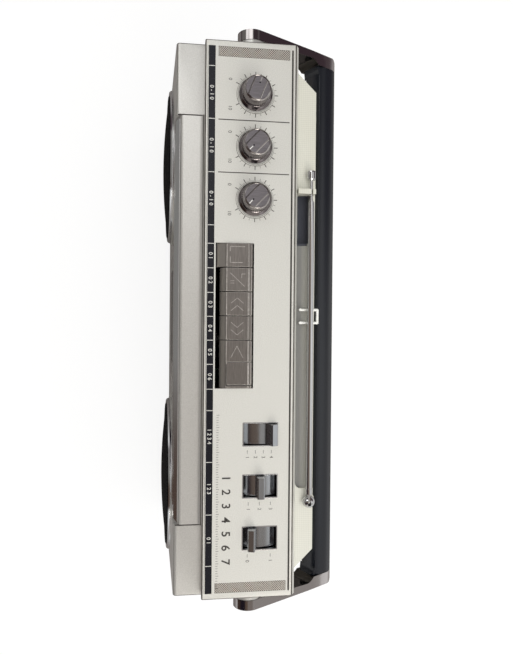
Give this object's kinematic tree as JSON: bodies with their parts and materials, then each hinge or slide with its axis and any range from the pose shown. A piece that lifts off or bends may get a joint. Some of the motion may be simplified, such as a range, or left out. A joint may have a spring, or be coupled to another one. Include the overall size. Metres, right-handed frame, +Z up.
{
  "type": "radio cassette player",
  "caption": "Portable radio cassette player with a raised control deck, domed speakers, piano keys, rotary and lever controls, a folding handle and a telescopic antenna.",
  "frame": {"origin": "on the floor, under the middle of the model's bounding box with the handle folded back", "axes": "+X along the cabinet to the right seen from the front, +Y to the rear, +Z up"},
  "size_m": [0.4906, 0.1606, 0.2554],
  "materials": {
    "cabinet_silver": "satin silver lacquer with fine metal flake",
    "deck_champagne": "fine brushed and anodised champagne silver",
    "cream": "fine grained moulded cream",
    "ink_print": "gloss black",
    "bright_chrome": "bright plated",
    "handle_chrome": "bright plated with dark reflections",
    "knob_metal": "dark turned metal",
    "key_metal": "brushed dark bronze grey",
    "lever_black": "ridged dark grey",
    "grip_black": "soft gloss black",
    "steel": "zinc plated sheet",
    "mesh_black": "satin black perforated sheet",
    "board": "coated board",
    "rubber": "matt",
    "clear": "clear moulded window",
    "smoke": "smoked moulded window",
    "scale_dark": "printed dark scale",
    "pointer_red": "red needle",
    "brass": "turned",
    "copper": "enamelled winding",
    "white_wire": "white coated wire"
  },
  "bodies": {
    "cabinet": {"front_cabinet": "cabinet_silver", "rear_cabinet": "cream", "deck_plate": "deck_champagne", "label_strip": "ink_print", "switch_bezels": "bright_chrome", "potentiometers": "steel", "switch_frames": "steel", "key_rod": "steel", "speaker_rings": "bright_chrome", "speaker_grilles": "mesh_black", "speaker_drivers": "steel", "dial_scale": "scale_dark", "dial_window": "clear", "dial_trim": "bright_chrome", "tape_chassis": "steel", "tape_motor": "steel", "drive_belt": "rubber", "main_board": "board", "power_transformer": "steel", "battery_box": "cream", "battery_contacts": "bright_chrome", "socket_panel": "ink_print", "ferrite_antenna": "copper", "tuning_capacitor": "steel", "feet": "rubber", "case_screws": "steel", "handle_pivots": "bright_chrome", "antenna_cradle": "white_wire", "antenna_clip": "cream"},
    "handle": {"handle_arms": "handle_chrome", "handle_grip": "grip_black"},
    "volume_knob": {"volume_knob": "knob_metal"},
    "bass_knob": {"bass_knob": "knob_metal"},
    "treble_knob": {"treble_knob": "knob_metal"},
    "pause_key": {"pause_key": "key_metal"},
    "stop_key": {"stop_key": "key_metal"},
    "forward_key": {"forward_key": "key_metal"},
    "rewind_key": {"rewind_key": "key_metal"},
    "play_key": {"play_key": "key_metal"},
    "record_key": {"record_key": "key_metal"},
    "function_lever": {"function_lever": "lever_black"},
    "band_lever": {"band_lever": "lever_black"},
    "power_lever": {"power_lever": "lever_black"},
    "tuning_knob": {"tuning_knob": "knob_metal"},
    "dial_drum": {"dial_drum": "cream"},
    "dial_pointer": {"dial_pointer": "pointer_red"},
    "cassette_door": {"cassette_door": "cabinet_silver", "door_window": "smoke"},
    "supply_spindle": {"supply_spindle": "cream"},
    "take_up_spindle": {"take_up_spindle": "cream"},
    "flywheel": {"flywheel": "steel"},
    "head_plate": {"head_plate": "steel"},
    "pinch_roller": {"pinch_roller": "rubber"},
    "motor_pulley": {"motor_pulley": "brass"},
    "battery_door": {"battery_door": "cream"},
    "antenna_base": {"antenna_base": "bright_chrome"},
    "antenna_tube": {"antenna_tube": "bright_chrome"},
    "antenna_second": {"antenna_second": "bright_chrome"},
    "antenna_third": {"antenna_third": "bright_chrome"},
    "antenna_tip": {"antenna_tip": "bright_chrome"}
  },
  "joints": [
    {"name": "handle_swing", "type": "hinge", "parent": "cabinet", "child": "handle", "pos_m": [0, -0.00256, 0.208], "axis": [1, 0, 0], "range_deg": [0, 130]},
    {"name": "volume_turn", "type": "hinge", "parent": "cabinet", "child": "volume_knob", "pos_m": [-0.1826, -0.00286, 0.24], "axis": [0, 0, 1], "range_deg": [-215, 85]},
    {"name": "bass_turn", "type": "hinge", "parent": "cabinet", "child": "bass_knob", "pos_m": [-0.1404, -0.00286, 0.24], "axis": [0, 0, 1], "range_deg": [-15, 285]},
    {"name": "treble_turn", "type": "hinge", "parent": "cabinet", "child": "treble_knob", "pos_m": [-0.0982, -0.00286, 0.24], "axis": [0, 0, 1], "range_deg": [-15, 285]},
    {"name": "pause_press", "type": "hinge", "parent": "cabinet", "child": "pause_key", "pos_m": [-0.0041, 0.00144, 0.228], "axis": [1, 0, 0], "range_deg": [0, 8], "stiffness_Nm_per_rad": 0.12, "springref_deg": -8.59},
    {"name": "stop_press", "type": "hinge", "parent": "cabinet", "child": "stop_key", "pos_m": [-0.0041, 0.00144, 0.228], "axis": [1, 0, 0], "range_deg": [0, 8], "stiffness_Nm_per_rad": 0.12, "springref_deg": -8.59},
    {"name": "forward_press", "type": "hinge", "parent": "cabinet", "child": "forward_key", "pos_m": [-0.0041, 0.00144, 0.228], "axis": [1, 0, 0], "range_deg": [0, 8], "stiffness_Nm_per_rad": 0.12, "springref_deg": -8.59},
    {"name": "rewind_press", "type": "hinge", "parent": "cabinet", "child": "rewind_key", "pos_m": [-0.0041, 0.00144, 0.228], "axis": [1, 0, 0], "range_deg": [0, 8], "stiffness_Nm_per_rad": 0.12, "springref_deg": -8.59},
    {"name": "play_press", "type": "hinge", "parent": "cabinet", "child": "play_key", "pos_m": [-0.0041, 0.00144, 0.228], "axis": [1, 0, 0], "range_deg": [0, 8], "stiffness_Nm_per_rad": 0.12, "springref_deg": -8.59},
    {"name": "record_press", "type": "hinge", "parent": "cabinet", "child": "record_key", "pos_m": [-0.0041, 0.00144, 0.228], "axis": [1, 0, 0], "range_deg": [0, 8], "stiffness_Nm_per_rad": 0.12, "springref_deg": -8.59},
    {"name": "function_switch", "type": "hinge", "parent": "cabinet", "child": "function_lever", "pos_m": [0.0919, 0.00334, 0.214], "axis": [1, 0, 0], "range_deg": [0, 38]},
    {"name": "band_switch", "type": "hinge", "parent": "cabinet", "child": "band_lever", "pos_m": [0.1341, 0.00334, 0.214], "axis": [1, 0, 0], "range_deg": [-13, 13]},
    {"name": "power_switch", "type": "hinge", "parent": "cabinet", "child": "power_lever", "pos_m": [0.1763, 0.00334, 0.214], "axis": [1, 0, 0], "range_deg": [-26, 0]},
    {"name": "tuning_turn", "type": "hinge", "parent": "cabinet", "child": "tuning_knob", "pos_m": [0.2056, -0.01356, 0.165], "axis": [1, 0, 0], "range_deg": [-1040, 1800]},
    {"name": "drum_turn", "type": "hinge", "parent": "cabinet", "child": "dial_drum", "pos_m": [0.2056, -0.01356, 0.165], "axis": [1, 0, 0], "range_deg": [-313, 541]},
    {"name": "pointer_slide", "type": "slide", "parent": "cabinet", "child": "dial_pointer", "axis": [1, 0, 0], "range_m": [-0.11, 0.19]},
    {"name": "door_open", "type": "hinge", "parent": "cabinet", "child": "cassette_door", "pos_m": [-0.0041, -0.06696, 0.09478], "axis": [1, 0, 0], "range_deg": [0, 35]},
    {"name": "supply_turn", "type": "hinge", "parent": "cabinet", "child": "supply_spindle", "pos_m": [-0.02535, -0.04899, 0.1339], "axis": [0, -0.9986, 0.0523], "continuous": true},
    {"name": "take_up_turn", "type": "hinge", "parent": "cabinet", "child": "take_up_spindle", "pos_m": [0.01715, -0.04899, 0.1339], "axis": [0, -0.9986, 0.0523], "continuous": true},
    {"name": "flywheel_turn", "type": "hinge", "parent": "cabinet", "child": "flywheel", "pos_m": [0.01715, -0.02781, 0.15582], "axis": [0, -0.9986, 0.0523], "continuous": true},
    {"name": "head_slide", "type": "slide", "parent": "cabinet", "child": "head_plate", "axis": [0, -0.0523, -0.9986], "range_m": [0, 0.0055]},
    {"name": "roller_turn", "type": "hinge", "parent": "head_plate", "child": "pinch_roller", "pos_m": [0.01715, -0.0504, 0.17002], "axis": [0, -0.9986, 0.0523], "continuous": true},
    {"name": "pulley_turn", "type": "hinge", "parent": "cabinet", "child": "motor_pulley", "pos_m": [-0.0421, -0.02118, 0.11041], "axis": [0, -0.9986, 0.0523], "continuous": true},
    {"name": "lid_open", "type": "hinge", "parent": "cabinet", "child": "battery_door", "pos_m": [-0.05, 0.04734, 0.0528], "axis": [-1, 0, 0], "range_deg": [0, 100]},
    {"name": "antenna_swivel", "type": "hinge", "parent": "cabinet", "child": "antenna_base", "pos_m": [0.1488, 0.04444, 0.2365], "axis": [0, 0, 1], "range_deg": [-180, 0]},
    {"name": "antenna_tilt", "type": "hinge", "parent": "antenna_base", "child": "antenna_tube", "pos_m": [0.1488, 0.04444, 0.2365], "axis": [0, 1, 0], "range_deg": [0, 90], "deforming": ["antenna_clip"]},
    {"name": "antenna_pull_1", "type": "slide", "parent": "antenna_tube", "child": "antenna_second", "axis": [-1, 0, 0], "range_m": [0, 0.215]},
    {"name": "antenna_pull_2", "type": "slide", "parent": "antenna_second", "child": "antenna_third", "axis": [-1, 0, 0], "range_m": [0, 0.212]},
    {"name": "antenna_pull_3", "type": "slide", "parent": "antenna_third", "child": "antenna_tip", "axis": [-1, 0, 0], "range_m": [0, 0.205]}
  ],
  "couplings": [
    {"joint": "drum_turn", "follows": "tuning_turn", "ratio": 0.3},
    {"joint": "pointer_slide", "follows": "tuning_turn", "m_per_rad": 0.006},
    {"joint": "head_slide", "follows": "play_press", "m_per_rad": 0.039},
    {"joint": "pulley_turn", "follows": "flywheel_turn", "ratio": 6.75}
  ]
}
